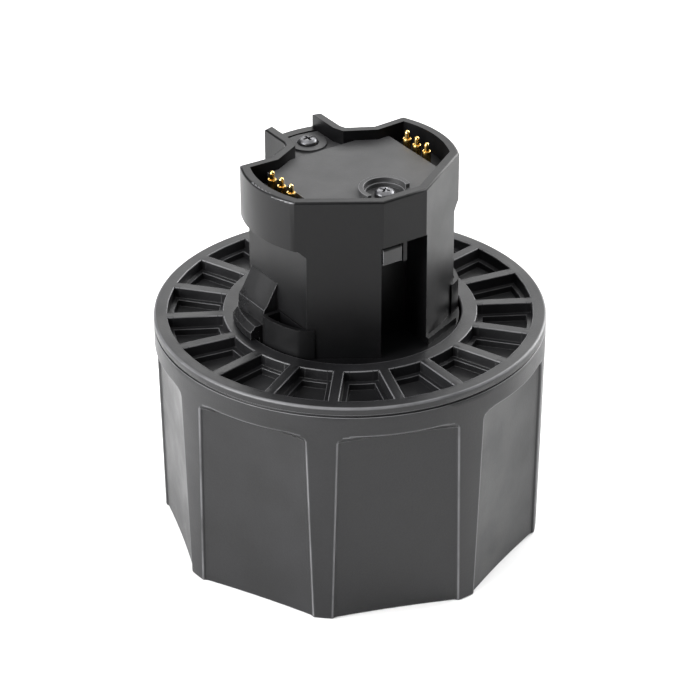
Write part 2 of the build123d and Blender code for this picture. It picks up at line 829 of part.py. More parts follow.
with BuildPart() as latch_pin:
    with BuildSketch(Plane.YZ.offset(-window_half - latch_pin_seat)):
        with Locations((latch_axis_y, latch_axis_z)):
            Circle(latch_pin_r)
    extrude(amount=window_half + latch_pin_seat + divider_width / 2)
save(latch_pin, "latch_pin")


# =====================================================================
# Round socket on its plate
# =====================================================================

with BuildPart() as socket_plate:
    with BuildSketch(Plane.XY.offset(plate_face)) as plate_outline:
        Circle(plate_centre_r)
        with Locations(*plate_screw_places):
            Circle(plate_ear_r)
        make_hull()
        add(skirt_profile(skirt_wall + fit_gap), mode=Mode.INTERSECT)
        Circle(socket_r, mode=Mode.SUBTRACT)
        with Locations(*plate_screw_places):
            Circle(screw_r, mode=Mode.SUBTRACT)
    extrude(amount=plate_thickness)
    with BuildSketch(Plane.XY.offset(plate_face)):
        with Locations(*plate_screw_places):
            Circle(screw_head_r + 0.6)
    extrude(amount=plate_screw_seat - plate_face, mode=Mode.SUBTRACT)
save(socket_plate, "socket_plate")

shell_z = plate_face - socket_proud
insert_z = plate_face + insert_recess
insert_outer_r = socket_r - socket_wall - socket_step
with BuildPart() as socket_shell:
    with BuildSketch(Plane.XY.offset(shell_z)):
        Circle(socket_r)
        Circle(socket_r - socket_wall, mode=Mode.SUBTRACT)
    extrude(amount=socket_length)
    mouth = socket_shell.edges().group_by(Axis.Z)[0].sort_by(SortBy.LENGTH)[0]
    chamfer(mouth, length=0.3)
    with BuildSketch(Plane.XY.offset(insert_z)):
        Circle(socket_r - socket_wall)
        Circle(insert_outer_r, mode=Mode.SUBTRACT)
    extrude(amount=shell_z + socket_length - insert_z)
save(socket_shell, "socket_shell")

contact_places = [(0, 0)]
contact_places += [polar(contact_circle_r, 360 * i / contact_ring_count + 12)
                   for i in range(contact_ring_count)]
with BuildPart() as socket_insert:
    with BuildSketch(Plane.XY.offset(insert_z)):
        Circle(insert_outer_r)
        with Locations(*contact_places):
            Circle(contact_hole_r, mode=Mode.SUBTRACT)
    extrude(amount=insert_length)
save(socket_insert, "socket_insert")

with BuildPart() as socket_contacts:
    contact_z = insert_z + contact_recess
    with BuildSketch(Plane.XY.offset(contact_z)):
        with Locations(*contact_places):
            Circle(contact_hole_r)
            Circle(contact_hole_r - contact_wall, mode=Mode.SUBTRACT)
    extrude(amount=insert_length - contact_recess)
    with BuildSketch(Plane.XY.offset(insert_z + insert_length - 1)):
        with Locations(*contact_places):
            Circle(contact_hole_r)
    extrude(amount=contact_tail + 1)
save(socket_contacts, "socket_contacts")

with BuildPart() as socket_nut:
    with BuildSketch(Plane.XY.offset(plate_back)):
        RegularPolygon(radius=socket_nut_flats / 2, side_count=6, major_radius=False, rotation=30)
        Circle(socket_r, mode=Mode.SUBTRACT)
    extrude(amount=socket_nut_height)
save(socket_nut, "socket_nut")

cable_z = insert_z + insert_length + contact_tail
with BuildPart() as inner_cable:
    with BuildSketch(Plane.XY.offset(cable_z)):
        Circle(cable_r)
    extrude(amount=board_z - cable_z)
save(inner_cable, "inner_cable")
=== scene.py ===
# %% [markdown]
# # A keyed plug that is screwed home by a big ribbed nut
# The object is a moulded plug. A nut turns freely round its foot and pulls it into its socket.
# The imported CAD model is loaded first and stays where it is. It gives every size and every moving body.
# The lesson then adds what a mould, a lathe and a press leave on the real pieces: rounded edges,
# a grained grip, a trapezoid thread, turned pins and crossed screw heads.

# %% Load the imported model
import math

import bmesh
import bpy
from mathutils import Matrix, Vector


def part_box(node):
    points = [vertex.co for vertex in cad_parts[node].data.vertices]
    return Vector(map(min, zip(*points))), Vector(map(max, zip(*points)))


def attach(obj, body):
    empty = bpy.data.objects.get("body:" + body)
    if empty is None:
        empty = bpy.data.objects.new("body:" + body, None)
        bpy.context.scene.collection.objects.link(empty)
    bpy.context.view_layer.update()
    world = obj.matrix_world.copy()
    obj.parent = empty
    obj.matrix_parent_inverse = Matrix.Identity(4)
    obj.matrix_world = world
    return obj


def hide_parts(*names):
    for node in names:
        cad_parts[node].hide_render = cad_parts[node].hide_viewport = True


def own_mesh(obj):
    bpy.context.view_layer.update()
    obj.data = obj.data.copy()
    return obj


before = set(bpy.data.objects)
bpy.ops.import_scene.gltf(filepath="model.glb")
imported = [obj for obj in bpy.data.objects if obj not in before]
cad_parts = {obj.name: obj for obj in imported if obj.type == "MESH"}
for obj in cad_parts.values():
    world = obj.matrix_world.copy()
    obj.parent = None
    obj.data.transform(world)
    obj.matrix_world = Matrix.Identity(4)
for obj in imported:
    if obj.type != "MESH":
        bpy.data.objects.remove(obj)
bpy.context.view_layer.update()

MM = 0.001  # Blender works in metres, a toolmaker works in millimetres
WELD = 0.002  # points closer than this many millimetres are one point
EDGE_BEND = 9  # two faces that meet at a flatter angle, in degrees, are no edge

# %% [markdown]
# ## Small helpers
# A colour is read off as a hex value, the way the eye compares it, and turned into linear light once.
# One helper adds any node with its settings, and takes either a plain number or another node's output.
# The same helper serves shader trees and Geometry Nodes, so every tree below reads the same way.

# %% Colour and node helpers
def linear(text):
    """The linear colour of an sRGB hex value."""
    parts = [int(text[i:i + 2], 16) / 255 for i in (0, 2, 4)]
    return (*[c / 12.92 if c <= 0.04045 else ((c + 0.055) / 1.055) ** 2.4 for c in parts], 1.0)


def add(tree, kind, inputs=None, **settings):
    """One node with its settings, its fixed values and the outputs that feed it."""
    node = tree.nodes.new(kind)
    for name, value in settings.items():
        setattr(node, name, value)
    for key, value in (inputs or {}).items():
        if isinstance(value, bpy.types.NodeSocket):
            tree.links.new(value, node.inputs[key])
        else:
            node.inputs[key].default_value = value
    return node


def per_mm(size):
    """The noise scale whose features are about this many millimetres apart."""
    return 1 / (size * MM)


print("mid grey 808080 is", round(linear("808080")[0], 3), "in linear light")

# %% [markdown]
# ## Building and finishing a piece
# A turned profile, a repeated sector and a softened CAD copy all end the same way.
# The faces are made to point outwards, flat faces are shaded flat and rounds are shaded smooth.
# Then the piece gets its finish, the body it rides on, and the CAD nodes that it stands for.

# %% Mesh helpers
def to_object(name, points, faces):
    """A mesh object from points in millimetres."""
    mesh = bpy.data.meshes.new(name)
    mesh.from_pydata([Vector(p) * MM for p in points], [], faces)
    piece = bpy.data.objects.new(name, mesh)
    bpy.context.scene.collection.objects.link(piece)
    return piece


def tidy_mesh(mesh):
    """Closes seams, turns faces outwards and returns how many edges are left open."""
    work = bmesh.new()
    work.from_mesh(mesh)
    bmesh.ops.remove_doubles(work, verts=work.verts, dist=WELD * MM)
    bmesh.ops.recalc_face_normals(work, faces=work.faces)
    open_edges = sum(1 for edge in work.edges if len(edge.link_faces) != 2)
    work.to_mesh(mesh)
    work.free()
    return open_edges


def bake(piece):
    """Keeps what the modifiers make as the piece's own plain mesh."""
    bpy.context.view_layer.update()
    graph = bpy.context.evaluated_depsgraph_get()
    mesh = bpy.data.meshes.new_from_object(piece.evaluated_get(graph), preserve_all_data_layers=True,
                                           depsgraph=graph)
    piece.modifiers.clear()
    piece.data = mesh
    mesh.name = piece.name
    return piece


def shade(piece, crease=38):
    """Smooth rounds, flat flats: corners sharper than the crease stay sharp."""
    piece.data.polygons.foreach_set("use_smooth", [True] * len(piece.data.polygons))
    piece.data.set_sharp_from_angle(angle=math.radians(crease))
    weighted = piece.modifiers.new("Flat faces win", "WEIGHTED_NORMAL")
    weighted.keep_sharp = True
    return bake(piece)


def mark_painted_edge_highlight(piece, widest=0.2):
    """Writes 1 on the corners of narrow convex rounds, where a paler colour is painted on as a highlight,
    and 0 elsewhere.
    """
    work = bmesh.new()
    work.from_mesh(piece.data)
    layer = work.loops.layers.float.new("wear")
    full_after = 12  # degrees past the first bend
    for face in work.faces:
        longest = max(edge.calc_length() for edge in face.edges)
        round_sides = [e for e in face.edges if e.calc_length() > 0.6 * longest
                       and math.degrees(e.calc_face_angle_signed(0.0)) > EDGE_BEND]
        if face.calc_area() / longest > widest * MM or not round_sides:
            continue
        for loop in face.loops:
            bend = max(math.degrees(e.calc_face_angle_signed(0.0)) for e in loop.vert.link_edges)
            loop[layer] = min(max((bend - EDGE_BEND) / full_after, 0.0), 1.0)
    work.to_mesh(piece.data)
    work.free()


def settle(piece, body, slot, finish, *nodes):
    """Gives a piece its finish, its body and the CAD nodes that it stands for."""
    # Narrow rounds get a paler colour, a painted edge highlight
    mark_painted_edge_highlight(piece)
    piece.data.materials.clear()
    piece.data.materials.append(finish)
    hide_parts(*nodes)
    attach(piece, body)
    low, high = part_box(nodes[0])
    size = [round((b - a) / MM, 1) for a, b in zip(low, high)]
    print(f"{piece.name}: {len(piece.data.polygons)} faces, {size} mm, rides {body}")
    return piece


def ring(radius, angles, z):
    """Points on a level circle at these angles, in degrees."""
    return [(radius * math.cos(math.radians(a)), radius * math.sin(math.radians(a)), z) for a in angles]


def rounded(corners, closed=False, steps=3):
    """A profile from corners (across, up, rounding), each corner cut by a short smooth curve."""
    path = []
    count = len(corners)
    for i, (x, y, cut) in enumerate(corners):
        here = Vector((x, y))
        if cut == 0 or (not closed and i in (0, count - 1)):
            path.append((x, y))
            continue
        before = Vector(corners[i - 1][:2]) - here
        after = Vector(corners[(i + 1) % count][:2]) - here
        start = here + before.normalized() * min(cut, 0.48 * before.length)
        end = here + after.normalized() * min(cut, 0.48 * after.length)
        for k in range(steps + 1):
            t = k / steps
            path.append(tuple(start * (1 - t) ** 2 + here * 2 * t * (1 - t) + end * t**2))
    return path


def turned(profile, closed=False, steps=64):
    """Points and faces of a profile (radius, height) turned round the upright axis."""
    points = []
    for k in range(steps):
        turn = 2 * math.pi * k / steps
        points += [(r * math.cos(turn), r * math.sin(turn), z) for r, z in profile]
    rows = len(profile)
    faces = []
    for k in range(steps):
        for i in range(rows if closed else rows - 1):
            j = (i + 1) % rows
            ring = (k + 1) % steps
            faces.append((k * rows + i, ring * rows + i, ring * rows + j, k * rows + j))
    return points, faces


def grid_faces(row_count, column_count):
    """Faces between rows of points that follow one another."""
    return [(i * column_count + j, i * column_count + j + 1, (i + 1) * column_count + j + 1,
             (i + 1) * column_count + j) for i in range(row_count - 1) for j in range(column_count - 1)]


# %% Geometry Nodes helpers
def new_tree(name, *inputs):
    """A modifier tree with named inputs (label, socket type, value), and its two end nodes."""
    tree = bpy.data.node_groups.new(name, "GeometryNodeTree")
    tree.is_modifier = True
    tree.interface.new_socket("Geometry", in_out="INPUT", socket_type="NodeSocketGeometry")
    for label, kind, value in inputs:
        socket = tree.interface.new_socket(label, in_out="INPUT", socket_type=kind)
        if value is not None:
            socket.default_value = value
    tree.interface.new_socket("Geometry", in_out="OUTPUT", socket_type="NodeSocketGeometry")
    return tree, add(tree, "NodeGroupInput").outputs


def grow(piece, tree, **values):
    """Runs a tree on a piece with these input values and keeps the result as a plain mesh."""
    modifier = piece.modifiers.new(tree.name, "NODES")
    modifier.node_group = tree
    for item in tree.interface.items_tree:
        if item.in_out == "INPUT" and item.name in values:
            modifier[item.identifier] = values[item.name]
    return bake(piece)


def drop(*pieces):
    """Removes patterns that have done their work."""
    for piece in pieces:
        bpy.data.objects.remove(piece, do_unlink=True)


print("helpers ready")

# %% [markdown]
# ## Finish 1: moulded plastics
# Every black piece is moulded. What the eye gets from it is the mould's own surface: a spark-eroded
# cavity leaves an even sandy grain that scatters light, a polished one leaves a satin skin.
# Glass-filled nylon also shows soft cloudy patches where the fibres lie differently.
# A plain noise bump gives the grain, a slow noise moves the colour and the roughness a little,
# and a small Bevel radius rounds the light on the edges as a worn mould does. Narrow convex rounds
# are also painted a paler colour, a painted edge highlight.

# %% Moulded plastic
def new_material(name):
    """A material with an empty node tree."""
    material = bpy.data.materials.new(name)
    material.use_nodes = True
    material.node_tree.nodes.clear()
    return material, material.node_tree


def moulded(name, dark, pale, grain, depth, patch, rough, spread, edge=0.12, ior=1.5, edge_highlight_colour="6c6c6e"):
    """A moulded plastic skin: grain and patch sizes, grain depth and edge radius in millimetres; the last
    colour is a painted edge highlight.
    """
    material, tree = new_material(name)
    place = add(tree, "ShaderNodeTexCoord").outputs["Object"]
    sand = add(tree, "ShaderNodeTexNoise", {"Vector": place, "Scale": per_mm(grain), "Detail": 3.0,
                                            "Roughness": 0.6})
    cloud = add(tree, "ShaderNodeTexNoise", {"Vector": place, "Scale": per_mm(patch), "Detail": 4.0,
                                             "Roughness": 0.55})
    both = add(tree, "ShaderNodeMix", {0: 0.45, 2: cloud.outputs["Fac"], 3: sand.outputs["Fac"]})
    share = add(tree, "ShaderNodeMapRange", {"Value": both.outputs[0], "From Min": 0.35,
                                             "From Max": 0.65})
    colour = add(tree, "ShaderNodeMix", {0: share.outputs[0], 6: linear(dark), 7: linear(pale)},
                 data_type="RGBA")
    # Narrow rounds get a painted highlight, a paler colour, and a slow noise breaks the line up
    wear = add(tree, "ShaderNodeAttribute", attribute_name="wear")
    highlight_breakup = add(tree, "ShaderNodeMapRange", {"Value": cloud.outputs["Fac"], "From Min": 0.3,
                                              "From Max": 0.6, "To Min": 0.35, "To Max": 1.0})
    highlight_amount = add(tree, "ShaderNodeMath", {0: wear.outputs["Fac"], 1: highlight_breakup.outputs[0]},
                 operation="MULTIPLY")
    colour = add(tree, "ShaderNodeMix", {0: highlight_amount.outputs[0], 6: colour.outputs[2], 7: linear(edge_highlight_colour)},
                 data_type="RGBA")
    gloss = add(tree, "ShaderNodeMapRange", {"Value": cloud.outputs["Fac"], "From Min": 0.35,
                                             "From Max": 0.65, "To Min": rough - spread,
                                             "To Max": rough + spread})
    edges = add(tree, "ShaderNodeBevel", {"Radius": edge * MM}, samples=4)
    bump = add(tree, "ShaderNodeBump", {"Strength": 1.0, "Distance": depth * MM,
                                        "Height": sand.outputs["Fac"],
                                        "Normal": edges.outputs[0]})
    skin = add(tree, "ShaderNodeBsdfPrincipled", {"Base Color": colour.outputs[2],
                                                  "Roughness": gloss.outputs[0], "IOR": ior,
                                                  "Normal": bump.outputs[0]})
    add(tree, "ShaderNodeOutputMaterial", {"Surface": skin.outputs[0]})
    return material


# Glass-filled nylon from a spark-eroded cavity: sandy and matt. Its edges get a soft grey painted highlight.
# Real grain is near 0.1 mm. It is drawn three times coarser here so that it shows.
# Its index of refraction is set below real nylon's 1.53 or so, which keeps the upright panels dark.
grip_nylon = moulded("Glass-filled nylon, spark-eroded mould", "0f0f10", "18181a", grain=0.34, depth=0.022,
                     patch=9.0, rough=0.41, spread=0.05, edge=0.05, ior=1.42, edge_highlight_colour="5c5c5e")
# The same nylon off a polished core: smoother, so the thread shows long soft streaks of light.
thread_nylon = moulded("Glass-filled nylon, polished core", "101011", "181819", grain=0.6, depth=0.008,
                       patch=11.0, rough=0.36, spread=0.05)
# Black polyester housing from a fine-textured cavity: a quiet satin skin.
# Its index of refraction is 1.3 for the same reason. Real polyester is near 1.6.
# The housing's edges get a paler grey painted highlight.
housing_satin = moulded("Black PBT, fine satin mould", "080809", "0d0d0e", grain=0.30, depth=0.012,
                        patch=12.0, rough=0.37, spread=0.04, edge=0.05, ior=1.3, edge_highlight_colour="606062")
# Clip blocks are unfilled nylon, which is a little glossier because it has to spring.
clip_nylon = moulded("Black nylon clip, plain mould", "101011", "19191a", grain=0.5, depth=0.010,
                     patch=6.0, rough=0.30, spread=0.05)
# The deck is a separate grey moulding with a flat, almost chalky face.
deck_grey = moulded("Dark grey PBT, matt mould", "242425", "2d2d2e", grain=0.28, depth=0.014,
                    patch=7.0, rough=0.56, spread=0.06, edge=0.08)
# Contact blocks are liquid-crystal polymer: matt black, with short flow marks.
block_black = moulded("Black LCP contact block", "0c0c0d", "151516", grain=0.45, depth=0.012,
                      patch=3.0, rough=0.48, spread=0.06, edge=0.06)
# The slip washer is natural acetal, waxy and off-white.
# Its edges get a whiter painted highlight.
washer_acetal = moulded("Natural acetal washer", "d8d6cc", "e6e4dc", grain=0.8, depth=0.006, patch=10.0,
                        rough=0.34, spread=0.04, ior=1.48, edge_highlight_colour="f0efe8")
# Seals are pressed rubber: dull, slightly bloomed black.
seal_rubber = moulded("Pressed EPDM rubber", "151515", "232323", grain=0.5, depth=0.02, patch=4.0,
                      rough=0.72, spread=0.06)
# The cable's jacket is extruded PVC.
cable_pvc = moulded("Extruded PVC jacket", "1c1c1d", "262627", grain=0.7, depth=0.012, patch=8.0,
                    rough=0.45, spread=0.06)
print("moulded finishes", len(bpy.data.materials))

# %% [markdown]
# ## Finish 2: metals and laminate
# Contacts are gold plated over nickel, screws are zinc-nickel plated, inserts are bare brass.
# A plated part keeps the fine turning marks of the part beneath. They run round the axis, so the noise
# is squeezed along the height and left long the other way. The export keeps colour and roughness,
# so the small variations are carried by those two and by a very low bump.

# %% Metals
def metal(name, deep, bright, rough, spread, mark=0.12, depth=0.002, edge=0.05):
    """A metal skin with turning marks this many millimetres apart along the height."""
    material, tree = new_material(name)
    place = add(tree, "ShaderNodeTexCoord").outputs["Object"]
    squeeze = add(tree, "ShaderNodeMapping", {"Vector": place, "Scale": (0.12, 0.12, 1.0)})
    marks = add(tree, "ShaderNodeTexNoise", {"Vector": squeeze.outputs[0], "Scale": per_mm(mark),
                                             "Detail": 2.0, "Roughness": 0.5})
    tarnish = add(tree, "ShaderNodeTexNoise", {"Vector": place, "Scale": per_mm(1.6), "Detail": 3.0})
    share = add(tree, "ShaderNodeMapRange", {"Value": tarnish.outputs["Fac"], "From Min": 0.35,
                                             "From Max": 0.65})
    colour = add(tree, "ShaderNodeMix", {0: share.outputs[0], 6: linear(deep), 7: linear(bright)},
                 data_type="RGBA")
    gloss = add(tree, "ShaderNodeMapRange", {"Value": marks.outputs["Fac"], "From Min": 0.3,
                                             "From Max": 0.7, "To Min": rough - spread,
                                             "To Max": rough + spread})
    edges = add(tree, "ShaderNodeBevel", {"Radius": edge * MM}, samples=4)
    bump = add(tree, "ShaderNodeBump", {"Strength": 0.6, "Distance": depth * MM,
                                        "Height": marks.outputs["Fac"], "Normal": edges.outputs[0]})
    skin = add(tree, "ShaderNodeBsdfPrincipled", {"Base Color": colour.outputs[2], "Metallic": 1.0,
                                                  "Roughness": gloss.outputs[0],
                                                  "Normal": bump.outputs[0]})
    add(tree, "ShaderNodeOutputMaterial", {"Surface": skin.outputs[0]})
    return material


# Hard gold over nickel is a warm yellow with a clear but not mirror-like shine.
gold_plate = metal("Hard gold plate over nickel", "d3aa58", "ecd08c", rough=0.20, spread=0.06)
# Dark zinc-nickel plating leaves the screws a soft mid grey that catches light on its rounds.
dark_zinc = metal("Dark zinc-nickel plated screw", "5a5a5c", "77777a", rough=0.34, spread=0.06)
# Threaded inserts are free-cutting brass, left bare.
bare_brass = metal("Turned brass insert", "b08a4a", "c9a460", rough=0.32, spread=0.06)
# Spring wire is drawn and passivated.
spring_wire = metal("Drawn stainless spring wire", "9a9a98", "b8b8b5", rough=0.28, spread=0.05, mark=0.3)
# The round socket is brass under satin nickel.
satin_nickel = metal("Satin nickel on brass", "8e8b85", "aaa69e", rough=0.34, spread=0.06)

# %% Board laminate
# Glass-epoxy board: a green mask over a woven glass core, whose weave is 0.5 mm.
board_glass, tree = new_material("Glass-epoxy board, green mask")
place = add(tree, "ShaderNodeTexCoord").outputs["Object"]
weave = add(tree, "ShaderNodeTexWave", {"Vector": place, "Scale": per_mm(0.5) / 20, "Distortion": 1.0})
tint = add(tree, "ShaderNodeMix", {0: weave.outputs["Fac"], 6: linear("1f4a2c"), 7: linear("2b5c38")},
           data_type="RGBA")
skin = add(tree, "ShaderNodeBsdfPrincipled", {"Base Color": tint.outputs[2], "Roughness": 0.35})
add(tree, "ShaderNodeOutputMaterial", {"Surface": skin.outputs[0]})
print("finishes", [m.name for m in bpy.data.materials][-8:])

# %% [markdown]
# ## The grip shell
# The nut's outside is eight shallow panels between raised grip strips, under a plain band with a fine
# lip line. Its top face is a ring of eighteen stepped pockets that keep the walls even in thickness.
# Both patterns repeat, so one sector of each is drawn and a Geometry Nodes tree turns them round
# the axis and welds the seams. The two rings meet on circles that have one point per degree, so
# the whole shell closes into a single watertight skin.

# %% Sizes of the nut
nut_height = 45.0
top_r = 35.985
open_r = 35.3
first_rib = 3.0  # degrees from +X to the nearest grip strip
panel_count = 8
strip_top = 6.4  # strip width where the panels start
strip_open = 4.2  # strip width at the open rim
step_top = 0.6  # drop from a strip to the panel's edge
step_open = 0.55
panel_hollow = 0.3
panel_steps = 9  # points from a panel's middle to its foot
foot_cut = 0.07  # rounding where a panel meets its step
crest_cut = 0.22  # rounding before a step's crest
crest_after = 0.3  # and after it
panel_top = 39.7
scoop_low = 37.5
lip_z = 43.5
lip_depth = 0.35
lip_line = 0.45
seam_r = 34.3
sleeve_r = 31.9
web_z = 39.5
hub_hole_r = 20.4
hub_r = 23.3
pocket_r = 33.5
pocket_count = 18
first_pocket = 11.0  # degrees from +X to the nearest pocket rib
rib_half = 0.95
nut_low, nut_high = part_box("grip_shell")
print("shell", [round((b - a) / MM, 2) for a, b in zip(nut_low, nut_high)], "mm across, across and tall")

# %% One grip sector: a cross-section at any height
def mix(a, b, share):
    """The value this share of the way from a to b."""
    return a + (b - a) * share


def smooth(share):
    """The share with a soft start and end."""
    share = min(max(share, 0.0), 1.0)
    return share * share * (3 - 2 * share)


def shell_r(z):
    """Radius of the strips at a height: the shell narrows towards its open rim."""
    return mix(open_r, top_r, min(max(z / panel_top, 0), 1))


def half_section(z):
    """23 points (across, sideways) from the middle of a panel to the middle of a strip."""
    share = min(max(z / panel_top, 0), 1)
    radius = shell_r(z)
    strip = mix(strip_open, strip_top, share)
    half = radius * math.sin(math.pi / panel_count) - strip / 2
    across = math.sqrt(radius**2 - half**2) - mix(step_open, step_top, share)
    rise = -(across + half) + math.sqrt((across + half) ** 2 - 2 * (across**2 + half**2 - radius**2))
    rise = rise / 2
    section = []
    for k in range(panel_steps):
        side = half * (k + 0.5) / panel_steps
        side = min(side, half - 0.2)
        section.append((across - panel_hollow * (1 - (side / half) ** 2), side))
    cut = min(foot_cut, rise * 0.2)
    foot = Vector((across, half))
    inner = Vector((across, half - cut))
    outer = foot + Vector((cut, cut))
    for t in (0.15, 0.5, 1.0):
        section.append(tuple(inner * (1 - t) ** 2 + foot * 2 * t * (1 - t) + outer * t**2))
    crest = Vector((across + rise, half + rise))
    crest_turn = math.atan2(crest.y, crest.x)
    after_turn = crest_turn + crest_after / radius
    after = Vector((radius * math.cos(after_turn), radius * math.sin(after_turn)))
    before = crest - Vector((crest_cut, crest_cut))
    for t in (0.0, 0.34, 0.67, 1.0):
        section.append(tuple(before * (1 - t) ** 2 + crest * 2 * t * (1 - t) + after * t**2))
    for k in range(1, 8):
        turn = mix(after_turn, math.pi / panel_count, k / 7)
        section.append((radius * math.cos(turn), radius * math.sin(turn)))
    return section


def whole(half_list):
    """A half list mirrored to both sides of the panel's middle."""
    return [(x, -y) for x, y in reversed(half_list)] + list(half_list)


even_turns = [math.radians(k - 22.5) for k in range(46)]


def even_ring(radius, z):
    """One grip sector of a circle with a point on every degree."""
    return [(radius * math.cos(t), radius * math.sin(t), z) for t in even_turns]


def strip_ring(radius, z, share, like_z):
    """A plain ring whose points slide from even spacing to a panel section's own spacing."""
    turns = [math.atan2(y, x) for x, y in whole(half_section(like_z))]
    turns = [mix(a, b, share) for a, b in zip(even_turns, turns)]
    return [(radius * math.cos(t), radius * math.sin(t), z) for t in turns]


def panel_row(z, drop_in=0.0):
    """The cross-section at a height, faded out into the plain band inside the scoop."""
    radius = shell_r(z) - drop_in
    section = whole(half_section(z))
    half = max(y for x, y in section) * 0.8
    row = []
    for x, y in section:
        turn = math.atan2(y, x)
        rounding = 5.2 * max(0.0, abs(y) / half - 0.62) ** 2  # the scoop's rounded upper corners
        fade = smooth((z + rounding - scoop_low) / (panel_top - 0.35 - scoop_low))
        if z <= scoop_low:
            fade = 0.0
        reach = math.hypot(x, y)
        out = mix(reach - drop_in, radius, fade)
        row.append((out * math.cos(turn), out * math.sin(turn), z))
    return row


print("strip", strip_top, "mm wide at the top and", strip_open, "mm at the rim")

# %% One grip sector: rows from the top face, down the outside and up the inside
fillet = 0.45  # round of the top face's outer edge
rows = [even_ring(seam_r, nut_height), strip_ring(35.0, nut_height, 0.2, panel_top)]
for k in range(5):
    turn = math.radians(22.5 * k)
    rows.append(strip_ring(top_r - fillet + fillet * math.sin(turn),
                           nut_height - fillet + fillet * math.cos(turn), 0.3 + 0.05 * k, panel_top))
lip_low = lip_z - lip_line
for out, z in ((0.0, lip_z + 0.1), (0.07, lip_z), (lip_depth - 0.04, lip_z - 0.04),
               (lip_depth, lip_z - 0.12),
               (lip_depth, lip_low + 0.12), (lip_depth - 0.04, lip_low + 0.04), (0.07, lip_low),
               (0.0, lip_low - 0.1)):
    rows.append(strip_ring(top_r - out, z, 0.7, panel_top))
for z in (42.0, 40.8, 40.0):
    rows.append(strip_ring(top_r, z, 1.0, panel_top))
scoop_rows = 14
for k in range(scoop_rows + 1):
    rows.append(panel_row(mix(panel_top, scoop_low, k / scoop_rows)))
for z in (34.0, 29.0, 24.0, 19.0, 14.0, 9.0, 5.0, 2.2, 0.8, 0.4):
    rows.append(panel_row(z))
for z, drop_in in ((0.2, 0.04), (0.06, 0.13), (0.0, 0.28)):
    rows.append(panel_row(z, drop_in))
rows.append(even_ring(sleeve_r + 0.06, 0.0))
rows.append(even_ring(sleeve_r, 0.1))
for z in (13.0, 26.0, web_z):
    rows.append(even_ring(sleeve_r, z))
columns = len(even_turns)
grip_sector = to_object("grip_sector", [point for row in rows for point in row],
                        grid_faces(len(rows), columns))
print("grip sector", len(rows), "rows by", columns, "columns")

# %% One pocket sector: the stepped pocket, the hub ring and the underside
# Each level is (distance in from the pocket's edge, depth below the top face)
levels = [(-0.15, 0.0), (-0.04, 0.04), (0.03, 0.18), (0.12, 1.9), (0.2, 2.0), (0.95, 2.0), (1.03, 2.1),
          (1.1, 3.1), (1.2, 3.2)]
deepest = len(levels) - 1
sector_degrees = 360 // pocket_count
hub_fillet = 0.4


def pocket_row(radius, row_level):
    """Points across one pocket at a radius: the depth is the shallower of its row and its column."""
    row = [(0.0, 0.0)]
    for side in (1, -1):
        order = range(len(levels)) if side == 1 else reversed(range(len(levels)))
        for k in order:
            turn = math.asin((rib_half + levels[k][0]) / radius)
            turn = turn if side == 1 else math.radians(sector_degrees) - turn
            row.append((turn, levels[min(k, row_level)][1]))
        if side == 1:
            row.append((math.radians(sector_degrees / 2), levels[row_level][1]))
    row.append((math.radians(sector_degrees), 0.0))
    return [(radius * math.cos(t), radius * math.sin(t), nut_height - depth) for t, depth in row]


def degree_row(radius, z):
    """One sector of a circle with a point on every degree."""
    return ring(radius, range(sector_degrees + 1), z)


rows = [degree_row(seam_r, nut_height)]
rows += [pocket_row(pocket_r - levels[k][0], k) for k in range(len(levels))]
rows += [pocket_row(r, deepest) for r in (30.0, 27.0)]
rows += [pocket_row(hub_r + levels[k][0], k) for k in reversed(range(len(levels)))]
for k in range(5):
    turn = math.radians(22.5 * k)
    rows.append(degree_row(hub_hole_r + hub_fillet - hub_fillet * math.sin(turn),
                           nut_height - hub_fillet + hub_fillet * math.cos(turn)))
rows += [degree_row(hub_hole_r, web_z + 0.2), degree_row(hub_hole_r + 0.2, web_z)]
rows += [degree_row(r, web_z) for r in (24.0, 28.0, sleeve_r)]
columns = sector_degrees + 1
pocket_sector = to_object("pocket_sector", [point for row in rows for point in row],
                          grid_faces(len(rows), columns))
print("pocket sector", len(rows), "rows by", columns, "columns")

# %% The tree that turns both sectors round the axis
tree, given = new_tree("Sectors round an axis", ("Grip Sector", "NodeSocketObject", None),
                       ("Grip Count", "NodeSocketInt", 8), ("Grip Turn", "NodeSocketFloat", 0.0),
                       ("Pocket Sector", "NodeSocketObject", None), ("Pocket Count", "NodeSocketInt", 18),
                       ("Pocket Turn", "NodeSocketFloat", 0.0), ("Weld", "NodeSocketFloat", 0.00001),
                       ("Finish", "NodeSocketMaterial", None))
join = add(tree, "GeometryNodeJoinGeometry")
for label in ("Grip", "Pocket"):
    shape = add(tree, "GeometryNodeObjectInfo", {"Object": given[label + " Sector"]})
    spots = add(tree, "GeometryNodePoints", {"Count": given[label + " Count"]})
    index = add(tree, "GeometryNodeInputIndex")
    pace = add(tree, "ShaderNodeMath", {0: 2 * math.pi, 1: given[label + " Count"]}, operation="DIVIDE")
    turn = add(tree, "ShaderNodeMath", {0: index.outputs[0], 1: pace.outputs[0],
                                        2: given[label + " Turn"]}, operation="MULTIPLY_ADD")
    spin = add(tree, "ShaderNodeCombineXYZ", {"Z": turn.outputs[0]})
    placed = add(tree, "GeometryNodeInstanceOnPoints", {"Points": spots.outputs[0],
                                                        "Instance": shape.outputs["Geometry"],
                                                        "Rotation": spin.outputs[0]})
    tree.links.new(placed.outputs[0], join.inputs[0])
real = add(tree, "GeometryNodeRealizeInstances", {"Geometry": join.outputs[0]})
weld = add(tree, "GeometryNodeMergeByDistance", {"Geometry": real.outputs[0], "Distance": given["Weld"]})
coat = add(tree, "GeometryNodeSetMaterial", {"Geometry": weld.outputs[0], "Material": given["Finish"]})
add(tree, "NodeGroupOutput", {"Geometry": coat.outputs[0]})

